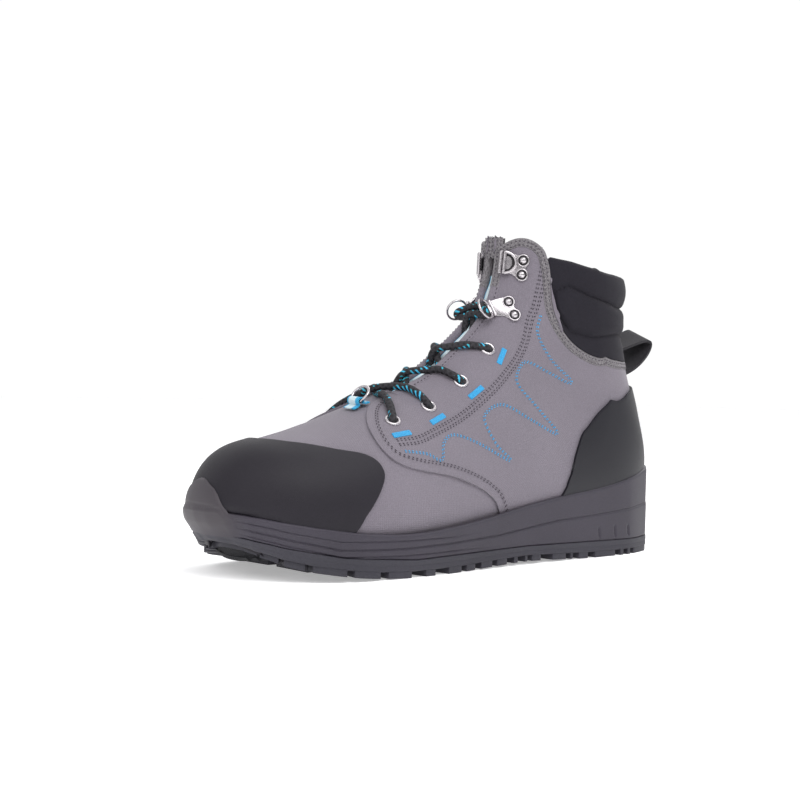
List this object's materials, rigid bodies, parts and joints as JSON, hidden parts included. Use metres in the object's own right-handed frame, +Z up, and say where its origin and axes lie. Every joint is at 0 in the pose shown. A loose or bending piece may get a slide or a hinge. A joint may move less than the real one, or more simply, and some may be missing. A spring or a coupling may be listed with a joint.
{
  "type": "wading boot",
  "caption": "Left ankle-high wading boot with a rubber cup sole, toe cap, heel counter, padded collar, eyelets, hooks and laces.",
  "frame": {"origin": "centre of the heel's flat rest on the floor", "axes": "+Z up, -Y towards the toe, +X towards the outer side of the left foot"},
  "size_m": [0.1062, 0.31, 0.1793],
  "materials": {
    "rubber": "matt moulded rubber",
    "footbed": "matt knit",
    "grey_cloth": "fine coated cloth",
    "toe_overlay": "matt grained film",
    "heel_overlay": "matt smooth film",
    "neoprene": "padded stretch cloth",
    "steel": "satin plated",
    "blue_webbing": "woven",
    "black_webbing": "woven",
    "lace": "braided, flecked with blue"
  },
  "bodies": {
    "root": {"outsole": "rubber", "midsole": "rubber", "insole": "footbed", "upper": "grey_cloth", "tongue": "grey_cloth", "toe_cap": "toe_overlay", "heel_counter": "heel_overlay", "collar": "neoprene", "eyelet_out_1": "steel", "eyelet_out_2": "steel", "eyelet_out_3": "steel", "eyelet_out_4": "steel", "lace_hook_out_lower": "steel", "lace_hook_out_upper": "steel", "eyelet_in_1": "steel", "eyelet_in_2": "steel", "eyelet_in_3": "steel", "eyelet_in_4": "steel", "lace_hook_in_lower": "steel", "lace_hook_in_upper": "steel", "ring": "steel", "ring_tab": "blue_webbing", "pull_loop": "black_webbing", "lace_cross_1": "lace", "lace_cross_2": "lace", "lace_cross_3": "lace", "lace_cross_4": "lace"}
  },
  "joints": []
}
